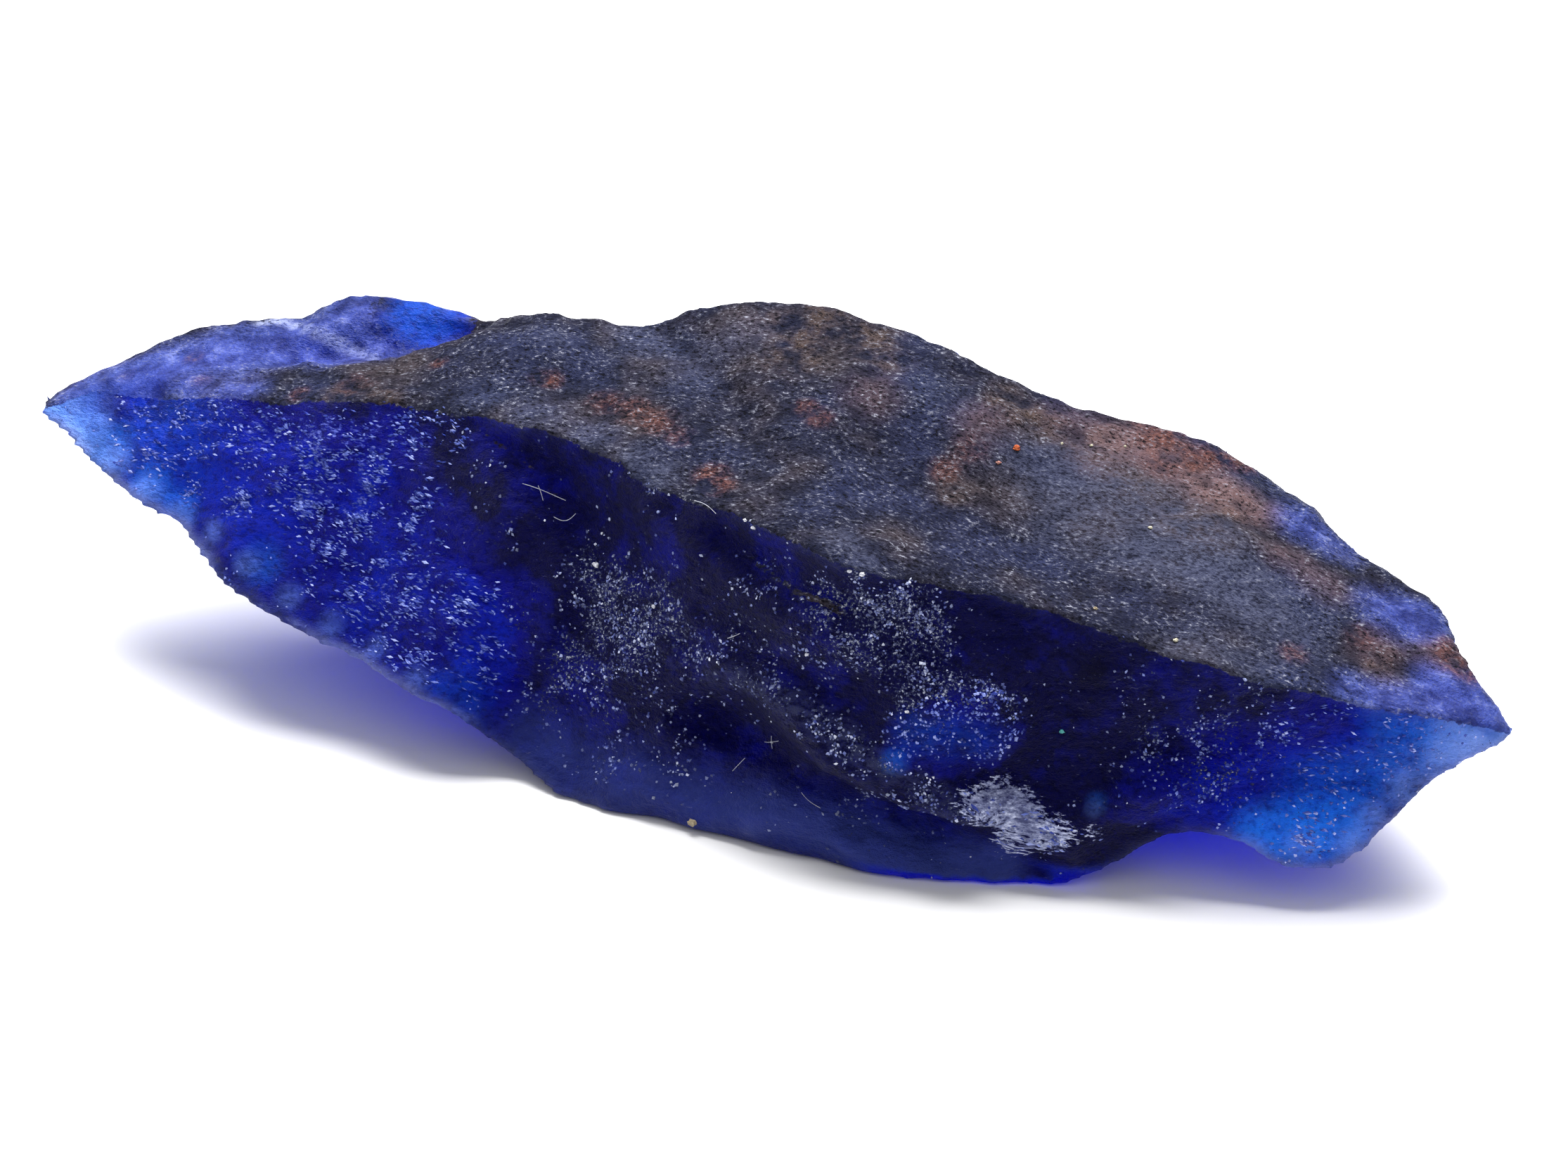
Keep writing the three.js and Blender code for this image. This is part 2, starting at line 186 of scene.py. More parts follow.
# places on the stone, picked on the photo: pixel across, pixel down, radius in mm, strength
marks = {
    # royal: painted glow, brighter blue where light comes through the stone
    "royal": [  # where the blue is lively
        (250, 640, 4, 0.42), (340, 700, 5, 0.48), (480, 740, 5, 0.42), (560, 850, 4.5, 0.46),
        (1900, 1100, 4, 0.4), (110, 600, 2, 1), (200, 640, 2.5, 0.9), (200, 566, 1.2, 1),
        (300, 650, 2.5, 0.8), (300, 730, 2.5, 0.7), (366, 745, 1.6, 0.8), (420, 640, 2.5, 0.6),
        (400, 790, 2.5, 0.6), (480, 850, 2.5, 0.6), (520, 700, 2.5, 0.6), (560, 640, 2, 0.4),
        (540, 900, 2.5, 0.7), (610, 790, 2.5, 0.6), (620, 960, 2, 0.7), (660, 860, 2, 0.7),
        (680, 985, 1.8, 0.75), (700, 920, 1.6, 0.7), (740, 850, 1.2, 0.4), (690, 620, 1.2, 0.25),
        (1800, 1150, 2.5, 0.8), (1880, 1170, 2.5, 1), (1930, 1050, 2.5, 0.8), (2050, 1040, 2.5, 0.9),
        (1850, 1060, 2, 0.6), (2100, 1040, 2, 1), (1760, 1090, 2, 0.5), (1700, 1160, 1.8, 0.45),
        (1640, 1130, 1.8, 0.4), (1700, 1000, 1.8, 0.2), (1290, 1045, 1.0, 0.6), (1340, 1020, 1.0, 0.55),
        (1390, 1020, 1.0, 0.55), (1430, 1050, 0.8, 0.5), (1340, 1070, 1.0, 0.65), (1400, 1075, 0.9, 0.6),
        (1285, 1075, 0.7, 0.7), (600, 450, 2.2, 1), (640, 460, 1.2, 1), (960, 770, 1.5, 0.25),
        (1100, 790, 1.5, 0.25), (850, 1020, 2.5, 0.3),
    ],
    "azure": [  # painted glow of light coming through thin places
        (85, 600, 1.5, 0.9), (120, 620, 1.2, 0.6), (160, 640, 1.2, 0.5), (210, 690, 1.0, 0.5),
        (255, 725, 0.9, 0.4), (240, 610, 3, 0.12), (600, 448, 2, 0.3), (372, 800, 1.0, 0.2),
        (640, 1000, 1.6, 0.12), (1800, 1190, 1.3, 0.95), (1860, 1185, 1.4, 1), (1915, 1180, 1.2, 0.95),
        (2110, 1040, 1.8, 0.95), (2060, 1055, 1.4, 0.6), (2000, 1080, 1.6, 0.32), (1940, 1120, 1.8, 0.32),
        (1990, 1020, 1.4, 0.3), (1870, 1130, 1.6, 0.25), (1560, 1140, 0.4, 0.15), (1272, 1082, 0.5, 0.4),
        (1300, 1045, 0.9, 0.14), (1350, 1050, 1.0, 0.1), (1400, 1055, 0.9, 0.08),
    ],
    "pale": [  # painted pale glow of light coming through the thin tips and rims
        (85, 600, 1.5, 0.7), (120, 625, 1.2, 0.6), (160, 655, 1.0, 0.5), (205, 700, 0.8, 0.45),
        (255, 735, 0.7, 0.35), (110, 590, 1.6, 0.4), (2125, 1040, 2, 0.95), (2090, 1050, 1.4, 0.8),
        (2050, 1085, 0.9, 0.5), (2000, 1120, 0.8, 0.5), (1950, 1165, 0.7, 0.5), (1920, 1200, 0.7, 0.5),
        (1850, 1205, 0.7, 0.3), (1780, 1205, 0.6, 0.3), (300, 757, 0.6, 0.3), (350, 800, 0.6, 0.3),
        (410, 848, 0.6, 0.25), (470, 888, 0.6, 0.25), (530, 922, 0.6, 0.25), (590, 966, 0.6, 0.25),
        (1556, 1150, 0.35, 0.2),
    ],
    "indigo": [  # painted reflection of the white floor on the ledges and belly
        (1290, 1225, 1.6, 0.9), (1360, 1235, 1.4, 0.9), (1420, 1235, 1.2, 0.9), (1220, 1200, 1.6, 0.9),
        (1150, 1180, 1.6, 0.8), (1080, 1160, 1.6, 0.8), (1000, 1150, 2, 0.7), (900, 1120, 2, 0.6),
        (820, 1090, 2, 0.5), (760, 1050, 1.6, 0.5),
    ],
    "rollSheen": [  # painted grey sheen and grey grains on the roll above the hollow
        (1010, 962, 0.7, 0.6), (1050, 970, 0.8, 0.8), (1090, 985, 0.8, 0.9), (1130, 1005, 0.8, 0.9),
        (1170, 1030, 0.8, 0.9), (1200, 1055, 0.8, 0.9), (1235, 1080, 0.7, 0.9), (1270, 1100, 0.6, 0.8),
        (1310, 1120, 0.7, 0.6), (1340, 1140, 0.7, 0.5),
    ],
    "violet": [  # weathering so thin that it is lavender
        (150, 545, 2, 0.8), (230, 520, 2, 0.8), (320, 500, 2.2, 0.8), (420, 490, 2.2, 0.8),
        (330, 555, 1.6, 0.6), (480, 510, 1.8, 0.7), (110, 570, 1.2, 0.8), (540, 480, 1.6, 0.6),
        (560, 500, 1.2, 0.5), (1850, 745, 1.3, 0.4), (1900, 780, 1.2, 0.3), (1980, 870, 1.6, 0.55),
        (2020, 885, 1.2, 0.6), (2040, 965, 1.0, 0.6), (2110, 1000, 1.4, 0.9), (2060, 1000, 1.4, 0.8),
        (1990, 1000, 1.4, 0.6), (1930, 985, 1.2, 0.4), (2120, 1025, 1.0, 0.9), (500, 440, 1.4, 0.7),
        (530, 434, 1.2, 0.7), (220, 553, 1.0, 0.7), (270, 551, 1.0, 0.6), (180, 558, 0.8, 0.7),
    ],
    "cool": [  # bluer weathering
        (930, 490, 1.6, 0.7), (1000, 510, 1.6, 0.6), (760, 590, 1.6, 0.7), (840, 620, 1.4, 0.8),
        (1060, 470, 1.4, 0.5), (900, 470, 1.2, 0.6), (690, 560, 1.2, 0.6), (980, 540, 1.2, 0.5),
        (1330, 560, 1.6, 0.4), (1860, 860, 1.6, 0.5),
    ],
    "bare": [  # no weathering at all
        (600, 450, 2.2, 1), (640, 464, 1.2, 1), (560, 438, 1.2, 0.8),
    ],
    "blush": [  # dusty brown-red weathering
        (1520, 600, 1.4, 0.4), (1600, 625, 1.6, 0.7), (1660, 650, 1.6, 0.8), (1720, 690, 1.6, 0.8),
        (1780, 720, 1.4, 0.7), (1560, 650, 1.4, 0.4), (1830, 790, 1.2, 0.4), (1880, 830, 1.2, 0.4),
        (1240, 560, 1.4, 0.3), (1400, 600, 1.4, 0.4), (2040, 930, 1.2, 0.5), (1960, 920, 1.2, 0.4),
    ],
    "rust": [  # rusty stains
        (275, 507, 0.5, 0.9), (425, 560, 0.5, 0.8), (505, 548, 0.9, 0.4), (285, 540, 0.5, 0.5),
        (180, 533, 0.5, 0.4), (622, 515, 0.4, 0.8), (785, 540, 0.5, 0.9), (765, 534, 0.4, 0.6),
        (860, 572, 0.7, 0.7), (900, 585, 0.8, 0.8), (935, 600, 0.8, 0.7), (968, 620, 0.6, 0.6),
        (1012, 675, 0.7, 0.9), (1028, 690, 0.6, 0.8), (1145, 578, 0.5, 0.9), (1165, 595, 0.6, 0.8),
        (1345, 668, 0.7, 0.6), (1380, 640, 0.8, 0.4), (1645, 624, 0.9, 0.8), (1670, 625, 0.9, 0.7),
        (1690, 655, 0.9, 0.9), (1730, 650, 0.8, 0.9), (1765, 660, 0.7, 0.9), (1650, 660, 0.8, 0.6),
        (1610, 598, 0.5, 0.6), (1935, 905, 0.6, 0.6), (1840, 930, 0.6, 0.6), (2060, 935, 0.8, 0.8),
        (2085, 958, 0.7, 0.8), (2056, 914, 0.4, 0.6),
    ],
    "ochre": [  # tan weathering
        (1080, 460, 1.2, 0.6), (1130, 500, 1.6, 0.6), (1170, 455, 1.6, 0.6), (1240, 480, 1.4, 0.6),
        (1260, 510, 1.2, 0.5), (1440, 575, 1.2, 0.6), (1480, 600, 1.2, 0.5), (1700, 740, 1.8, 0.5),
        (1560, 640, 1.4, 0.5), (1970, 955, 1.0, 0.6), (480, 560, 1.0, 0.6), (540, 565, 1.0, 0.6),
        (1350, 700, 1.0, 0.3), (1750, 720, 1.4, 0.5), (1620, 690, 1.2, 0.4),
    ],
    "crustSheen": [  # painted sheen: smoother, lighter, streaked
        (1480, 660, 2.2, 0.5), (1560, 690, 2.2, 0.55), (1640, 720, 2, 0.5), (1720, 760, 2, 0.5),
        (1500, 740, 2, 0.4), (1700, 920, 1.6, 0.5), (1780, 940, 1.4, 0.4), (1640, 790, 1.8, 0.7),
        (1720, 810, 1.8, 0.9), (1780, 850, 1.8, 0.8), (1560, 760, 1.6, 0.4), (1840, 900, 1.6, 0.5),
        (900, 650, 0.9, 0.7), (940, 675, 0.8, 0.8), (1200, 770, 0.9, 0.6), (1230, 800, 0.7, 0.6),
        (790, 480, 0.8, 0.4),
    ],
    "frost": [  # crowded small bright flakes, partly painted glints
        (830, 800, 1.1, 0.9), (870, 850, 1.6, 1), (940, 860, 1.5, 0.9), (970, 910, 1.2, 0.7),
        (900, 920, 1.6, 0.8), (840, 900, 1.2, 0.8), (800, 940, 1.2, 0.7), (780, 1000, 1.2, 0.7),
        (850, 980, 1.6, 0.6), (920, 1000, 1.6, 0.5), (1000, 980, 1.2, 0.5), (1060, 975, 0.9, 0.8),
        (1110, 990, 0.8, 0.8), (1160, 1030, 0.8, 0.8), (1210, 1060, 0.8, 0.8), (1255, 1090, 0.7, 0.8),
        (1180, 850, 1.2, 0.9), (1240, 880, 1.5, 1), (1300, 870, 1.3, 0.9), (1280, 930, 1.3, 0.9),
        (1220, 930, 1.1, 0.8), (1330, 910, 1.2, 0.8), (1340, 970, 0.9, 0.9), (1290, 990, 0.8, 0.7),
        (1410, 985, 0.7, 0.8), (1370, 972, 0.7, 0.8), (1310, 985, 0.7, 0.8), (1440, 1010, 0.6, 0.7),
        (1060, 860, 2.2, 0.35), (1050, 930, 2.0, 0.4), (1140, 920, 1.6, 0.5), (880, 880, 3.5, 0.4),
        (1250, 900, 3.0, 0.4), (860, 1070, 1.8, 0.45), (960, 1080, 1.8, 0.4), (1300, 1130, 1.2, 0.7),
        (1360, 1150, 1.2, 0.8), (1230, 1130, 1.2, 0.5), (1650, 1040, 1.4, 0.4), (1740, 1020, 1.3, 0.45),
        (1620, 960, 1.2, 0.4), (1730, 1100, 1.3, 0.45), (1800, 980, 1.2, 0.5), (1820, 1050, 1.2, 0.45),
        (1700, 1050, 3, 0.35), (1780, 1120, 2, 0.3), (1600, 1080, 1.8, 0.3), (1290, 1020, 0.8, 0.6),
        (1330, 1000, 0.8, 0.7), (1390, 1000, 0.8, 0.7), (1430, 1030, 0.7, 0.6), (1350, 1040, 1.0, 0.35),
        (690, 700, 0.9, 0.4), (720, 760, 0.8, 0.5), (700, 660, 0.6, 0.4), (1075, 745, 0.5, 0.9),
        (1220, 815, 0.5, 1), (930, 690, 0.6, 0.9), (990, 705, 0.5, 0.8), (740, 880, 1.0, 0.5),
    ],
    "scales": [  # rows of lavender scales, partly painted glints
        (300, 600, 1.4, 0.8), (370, 610, 1.6, 0.9), (440, 620, 1.8, 1), (500, 640, 1.8, 0.9),
        (560, 620, 1.6, 0.7), (620, 620, 1.4, 0.6), (360, 680, 1.4, 0.6), (400, 700, 1.2, 0.8),
        (450, 710, 1.8, 0.9), (520, 730, 1.8, 0.9), (590, 730, 1.4, 0.7), (340, 715, 0.8, 0.8),
        (480, 780, 1.4, 0.6), (600, 800, 1.6, 0.6), (650, 850, 1.6, 0.5), (520, 860, 1.6, 0.6),
        (590, 880, 1.8, 0.65), (560, 830, 1.4, 0.7), (640, 910, 1.5, 0.55), (680, 950, 1.2, 0.5),
        (460, 830, 1.2, 0.6), (600, 940, 1.2, 0.5), (230, 660, 1.2, 0.5), (270, 700, 0.9, 0.4),
        (170, 605, 1.2, 0.4), (210, 620, 1.4, 0.5), (240, 585, 1.2, 0.5), (190, 655, 1.0, 0.4),
        (290, 585, 1.2, 0.6), (1900, 1080, 1.6, 0.4), (1950, 1000, 1.4, 0.35), (1850, 1010, 1.2, 0.5),
        (2000, 1060, 1.4, 0.3), (1870, 1170, 1.2, 0.5),
    ],
    "granules": [  # grains that lie close, not in clumps
        (1285, 1040, 0.9, 0.3), (1335, 1010, 0.9, 0.4), (1395, 1005, 0.9, 0.4), (1440, 1035, 0.7, 0.35),
        (1345, 1055, 1.0, 0.2), (1405, 1065, 0.9, 0.25), (1290, 1080, 0.6, 0.2), (1860, 1175, 1.6, 0.06),
        (1960, 1120, 1.6, 0.05), (2040, 1060, 1.6, 0.05),
    ],
    "chalk": [  # a thin pale line
        (372, 456, 0.35, 0.5), (388, 457, 0.35, 0.5), (404, 459, 0.35, 0.5), (420, 463, 0.35, 0.6),
        (436, 468, 0.35, 0.6), (452, 475, 0.35, 0.6), (468, 482, 0.35, 0.6), (484, 489, 0.35, 0.6),
        (500, 496, 0.35, 0.5), (516, 502, 0.35, 0.5), (532, 508, 0.35, 0.4),
    ],
    "shelf": [  # painted silvery sheen in streaks above the foot
        (1420, 1135, 0.9, 0.9), (1450, 1160, 1.0, 1), (1480, 1185, 0.9, 0.8), (1400, 1165, 0.9, 0.55),
        (1510, 1190, 0.7, 0.5), (1440, 1200, 0.8, 0.6), (1380, 1140, 0.7, 0.6), (1555, 1185, 0.4, 0.5),
    ],
    "soot": [  # a black speck
        (1562, 950, 0.7, 1), (1540, 965, 0.5, 0.7),
    ],
}


# the place on the stone that a pixel of the photo shows, and the way that its surface looks there
def onStone(px, py):
    start, direction = photoRay(px, py)
    hit, place, normal = stone.ray_cast(start, direction)[:3]
    if not hit:
        print("no stone at pixel", px, py)
    return place, normal


# a mark's strength at each vertex: each of its spots fades out between two shares of its radius
markFade = (0.25, 1.5)


def markShare(spots):
    points = pointsOf(stone)
    bare = np.ones(len(points))
    for px, py, radius, strength in spots:
        near, far = (edge * radius * mm for edge in markFade)
        away = np.linalg.norm(points - np.array(onStone(px, py)[0]), axis=1)
        bare *= 1 - strength * (1 - fadeIn(away, near, far))
    return 1 - bare


# each value drawn towards those beside it
def blur(piece, values, passes):
    ends = np.array([tuple(edge.vertices) for edge in piece.data.edges])
    count = np.bincount(ends.ravel(), minlength=len(values))
    for step in range(passes):
        total = np.bincount(ends[:, 0], values[ends[:, 1]], len(values))
        total += np.bincount(ends[:, 1], values[ends[:, 0]], len(values))
        values = (values + total / count) / 2
    return values


# sharp edges and the resting face, where the surface stays calm
calmPlaces = {
    "sharp": (0.02, 0.1),
    "passes": 6,
    "strength": 2.5,
    "still": 0.85,
    "floor": (0.1 * mm, 0.8 * mm),
}


def edgeShare(piece):
    normals = normalsOf(piece)
    sharpest = np.ones(len(normals))
    for face in piece.data.polygons:
        corners = list(face.vertices)
        sharpest[corners] = np.minimum(sharpest[corners], normals[corners] @ np.array(face.normal))
    sharp = blur(piece, fadeIn(1 - sharpest, *calmPlaces["sharp"]), calmPlaces["passes"])
    return np.clip(calmPlaces["strength"] * sharp, 0, 1)


bpy.context.view_layer.update()
crustShare = weatheredShare(stone)
shares = {name: markShare(spots) for name, spots in marks.items()}
print("marks placed")


# soft patches of a size in mm, from 0 to 1
patches = {"fall": 1, "step": 2, "layers": 3, "span": (-0.15, 0.6)}


def patchShare(size):
    layers = (patches["fall"], patches["step"], patches["layers"])
    heights = [noise.fractal(Vector(point) / (size * mm), *layers) for point in pointsOf(stone)]
    return fadeIn(np.array(heights), *patches["span"])


# the hidden sides: patches of livelier blue, most of all towards the thin tips as painted glow, and clearer
# faces underneath
hiddenSides = {
    "back": (-0.2, 0.3),  # how far a face looks back
    "leftTip": (14, 26),  # mm from the middle
    "rightTip": (20, 29),
    "patches": 5,
    "lively": 0.75,
    "front": (5, 8),
    "under": (0.4, 0.75),  # how far a face looks down
    "foot": (-0.2, 0.2),
    "footFrom": (8, 11),
    "low": (0.5, 1.3),
}


def hiddenBlue():
    normals = normalsOf(stone)
    across, depth, height = pointsOf(stone).T / mm
    back = fadeIn(normals[:, 1], *hiddenSides["back"])
    tips = np.maximum(fadeIn(-across, *hiddenSides["leftTip"]), fadeIn(across, *hiddenSides["rightTip"]))
    lively = back * np.maximum(tips, hiddenSides["lively"] * patchShare(hiddenSides["patches"]))
    inFront = fadeIn(-depth, *hiddenSides["front"])
    under = fadeIn(-normals[:, 2], *hiddenSides["under"]) * (1 - inFront)
    # the low front of the foot, where a blue glow is painted
    foot = inFront * fadeIn(-normals[:, 2], *hiddenSides["foot"])
    foot *= (1 - fadeIn(height, *hiddenSides["low"])) * fadeIn(across, *hiddenSides["footFrom"])
    return lively, under, foot


backBlue, shares["under"], shares["low"] = hiddenBlue()
shares["royal"] = np.maximum(shares["royal"], backBlue)


def addGroup(piece, name, values):
    group = piece.vertex_groups.new(name=name)
    for index, value in enumerate(values):
        group.add([index], float(value), "REPLACE")


calm = edgeShare(stone)
offFloor = fadeIn(pointsOf(stone)[:, 2], *calmPlaces["floor"])
freeToMove = (1 - calmPlaces["still"] * calm) * offFloor
flaky = np.maximum(shares["frost"], shares["scales"])
addGroup(stone, "crust", crustShare * freeToMove)
addGroup(stone, "broken", (1 - crustShare) * freeToMove)
addGroup(stone, "flaky", (1 - crustShare) * freeToMove * flaky)

# unevenness too small for the solid, each as a texture that pushes the surface in or out
roughness = [
    {
        "name": "crustLumps", "on": "crust", "kind": "SOFT_NOISE", "depth": 3,
        "size": 1.7, "height": 0.4, "stretch": (1, 1, 1), "turn": 0,
    },
    {
        "name": "crustGrain", "on": "crust", "kind": "SOFT_NOISE", "depth": 1,
        "size": 0.55, "height": 0.2, "stretch": (1.8, 1, 1), "turn": 25,
    },
    {
        "name": "brokenLumps", "on": "broken", "kind": "SOFT_NOISE", "depth": 2,
        "size": 2.2, "height": 0.3, "stretch": (1.6, 1, 1), "turn": 0,
    },
    {
        "name": "brokenSteps", "on": "broken", "kind": "HARD_NOISE", "depth": 2,
        "size": 1.1, "height": 0.28, "stretch": (1.8, 1, 0.9), "turn": 8,
    },
    {
        "name": "brokenScales", "on": "flaky", "kind": "SOFT_NOISE", "depth": 1,
        "size": 0.5, "height": 0.2, "stretch": (2.2, 1, 0.9), "turn": 8,
    },
]


def roughen(piece, settings):
    pattern = bpy.data.textures.new(settings["name"], "CLOUDS")
    pattern.noise_scale = settings["size"] * mm
    pattern.noise_depth = settings["depth"]
    pattern.noise_type = settings["kind"]
    deselectAll()
    bpy.ops.object.empty_add(rotation=(0, math.radians(settings["turn"]), 0))
    guide = bpy.context.active_object
    guide.scale = settings["stretch"]
    push = piece.modifiers.new(settings["name"], "DISPLACE")
    push.texture = pattern
    push.texture_coords = "OBJECT"
    push.texture_coords_object = guide
    push.vertex_group = settings["on"]
    push.strength = settings["height"] * mm
    applyAll(piece)
    bpy.data.objects.remove(guide)


for settings in roughness:
    roughen(stone, settings)
print("stone roughened")


# a number for each vertex, for a material to read
def addValues(mesh, name, values):
    layer = mesh.attributes.new(name, "FLOAT", "POINT")
    layer.data.foreach_set("value", values.astype(np.float32))


shares["weathered"] = crustShare
shares["rim"] = calm
for name, values in shares.items():
    addValues(stone.data, name, values)

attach(stone, "root")
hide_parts("rough_sapphire")


# bright flakes of broken crystal, crowded where the marks are: sugary grains, and longer scales in rows
flakes = {
    "sugar": {
        "perSquare": 85, "long": (0.04, 0.14), "slim": (0.5, 0.95),
        "lean": 40, "stray": 180, "lavender": 0.3, "seed": 3,
    },
    "scale": {
        "perSquare": 98, "long": (0.07, 0.26), "slim": (0.22, 0.42),
        "lean": 25, "stray": 28, "lavender": 0.95, "seed": 5,
    },
    "sides": 4,
    "top": 0.5,
    "height": 0.7,
    "uneven": 0.3,
    "shapes": 6,
    "rows": (1, 0, -0.2),  # the way that scales lie
    "shift": 0.1,  # mm that a flake may lie beside its vertex
    "mostlyShort": (1.4, 2.3),
    "mostlyDull": (1.5, 2.0),
    "lighter": 0.2,  # how much flakes on thin places lighten, as painted glow
    "bluer": 1.1,  # how far flakes on lively blue turn blue
    "bluerGranules": 2,
    "unlike": 0.2,  # how far neighbours differ in blue
    "clumps": [{"size": 1.3, "least": 0.1, "more": 0.9}, {"size": 0.4, "least": 0.25, "more": 1.5}],
    "offRims": 0.8,
    "onRollSheen": 0.8,
    "onShelf": 0.6,
    "rowsOnShelf": 0.3,
    "sparse": 0.035,  # how crowded the broken faces are outside the marks
    "hidden": 0.22,  # and on the sides that the photo doesn't show
    "back": (-0.1, 0.2),
}


# one flake, a low chip: corner places about its middle, and the faces between them
def makeFlake(number):
    deselectAll()
    bpy.ops.mesh.primitive_cone_add(
        vertices=flakes["sides"], radius1=1, radius2=flakes["top"], depth=flakes["height"],
    )
    flake = bpy.context.active_object
    bpy.ops.object.mode_set(mode="EDIT")
    bpy.ops.transform.vertex_random(offset=flakes["uneven"], seed=number)
    bpy.ops.object.mode_set(mode="OBJECT")
    corners = pointsOf(flake)
    faces = np.array([tuple(face.vertices) for face in flake.data.polygons])
    bpy.data.objects.remove(flake)
    return corners, faces


def lengthOne(vectors):
    return vectors / np.linalg.norm(vectors, axis=1, keepdims=True)


# each vector turned about its own axis
def turned(vectors, axes, angles):
    cos, sin = np.cos(angles)[:, None], np.sin(angles)[:, None]
    along = (vectors * axes).sum(axis=1, keepdims=True) * axes
    return vectors * cos + np.cross(axes, vectors) * sin + along * (1 - cos)


# corners and faces of all flakes of a kind, and how bright and how blue each of them is
def scatterFlakes(kind, crowding):
    draw = np.random.default_rng(kind["seed"])
    count = int(kind["perSquare"] * crowding.sum() * (stoneSurface["face"] / mm) ** 2)
    spots = draw.choice(len(crowding), count, p=crowding / crowding.sum())
    up, place = lengthOne(normalsOf(stone))[spots], pointsOf(stone)[spots]
    side = lengthOne(np.cross(up, np.cross(np.array([flakes["rows"]]), up)))
    side = turned(side, up, np.radians(draw.uniform(-kind["stray"], kind["stray"], count)))
    for way in (side, np.cross(up, side)):
        place = place + way * draw.uniform(-flakes["shift"], flakes["shift"], (count, 1)) * mm
    up = turned(up, side, np.radians(draw.uniform(-kind["lean"], kind["lean"], count)))
    shortest, longest = kind["long"]
    long = (shortest + (longest - shortest) * draw.beta(*flakes["mostlyShort"], (count, 1))) * mm
    slim = draw.uniform(*kind["slim"], (count, 1)) * long
    shapes = [makeFlake(number) for number in range(flakes["shapes"])]
    which = draw.integers(0, flakes["shapes"], count)
    bodies = np.array([corners for corners, faces in shapes])[which]
    reach = (side * long, np.cross(up, side) * slim, up * slim)
    corners = place[:, None] + sum(bodies[:, :, axis, None] * reach[axis][:, None] for axis in range(3))
    each, sides = bodies.shape[1], shapes[0][1]
    faces = (sides[None] + each * np.arange(count)[:, None, None]).reshape(-1, sides.shape[1])
    # flakes lighter where the glow of thin places is painted
    thin = np.maximum(shares["azure"], shares["pale"])[spots]
    shine = np.clip(draw.beta(*flakes["mostlyDull"], count) + flakes["lighter"] * thin, 0, 1)
    lively = np.maximum(shares["royal"], flakes["bluerGranules"] * shares["granules"])[spots]
    lavender = draw.normal(kind["lavender"] + flakes["bluer"] * lively, flakes["unlike"], count)
    lavender = np.clip(lavender, 0, 1)
    return corners.reshape(-1, 3), faces, np.repeat(shine, each), np.repeat(lavender, each)


def makeFlakes(name, crowding):
    corners, faces, shine, lavender = scatterFlakes(flakes[name], crowding)
    mesh = bpy.data.meshes.new(name)
    mesh.from_pydata(corners, [], faces)
    addValues(mesh, "shine", shine)
    addValues(mesh, "lavender", lavender)
    piece = bpy.data.objects.new(name, mesh)
    bpy.context.scene.collection.objects.link(piece)
    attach(piece, "root")
    print(name, "flakes made,", len(mesh.polygons), "faces")
    return piece


# how crowded each kind lies at each vertex of the stone
def flakeRoom():
    broken = (1 - crustShare) * offFloor * (1 - flakes["offRims"] * calm)
    clumped = 1
    for clump in flakes["clumps"]:
        clumped = clumped * (clump["least"] + clump["more"] * patchShare(clump["size"]))
    crumbled = np.maximum(flakes["onRollSheen"] * shares["rollSheen"], flakes["onShelf"] * shares["shelf"])
    seen = np.maximum(shares["frost"], crumbled)
    rows = np.maximum(shares["scales"], flakes["rowsOnShelf"] * shares["shelf"])
    hidden = flakes["hidden"] * fadeIn(normalsOf(stone)[:, 1], *flakes["back"])
    sugar = clumped * np.maximum(np.maximum(seen, flakes["sparse"]), hidden)
    sugar = broken * np.maximum(sugar, shares["granules"])
    return {"sugar": sugar, "scale": broken * clumped * np.maximum(rows, hidden)}


flakePieces = [makeFlakes(name, crowding) for name, crowding in flakeRoom().items()]

# loose dirt, resting on the stone where the photo shows it
lint = {
    "radius": 0.013 * mm,
    "lift": 0.04 * mm,
    "round": 1,
    "steps": 4,
    "fibres": [
        [(743, 688), (770, 695), (790, 706), (805, 712)], [(765, 690), (770, 702), (772, 712)],
        [(787, 735), (805, 745), (819, 730)], [(988, 712), (1005, 716), (1019, 730)],
        [(1042, 1096), (1052, 1086), (1060, 1078)], [(1140, 1127), (1150, 1140), (1167, 1149)],
        [(1035, 908), (1044, 905), (1053, 901)], [(1088, 1055), (1098, 1055), (1108, 1053)],
        [(1098, 1046), (1098, 1055), (1099, 1064)],
    ],
}


def makeFibre(spots):
    deselectAll()
    bpy.ops.curve.primitive_nurbs_path_add()
    fibre = bpy.context.active_object
    steps = fibre.data.splines[0].points
    across, down = np.array(spots).T
    for number, step in enumerate(steps):
        along = number / (len(steps) - 1) * (len(spots) - 1)
        spot = [np.interp(along, range(len(spots)), row) for row in (across, down)]
        place, normal = onStone(*spot)
        step.co = (*(place + normal * lint["lift"]), 1)
    fibre.data.bevel_depth = lint["radius"]
    fibre.data.bevel_resolution = lint["round"]
    fibre.data.resolution_u = lint["steps"]
    fibre.data.use_fill_caps = True
    bpy.ops.object.convert(target="MESH")
    return bpy.context.active_object


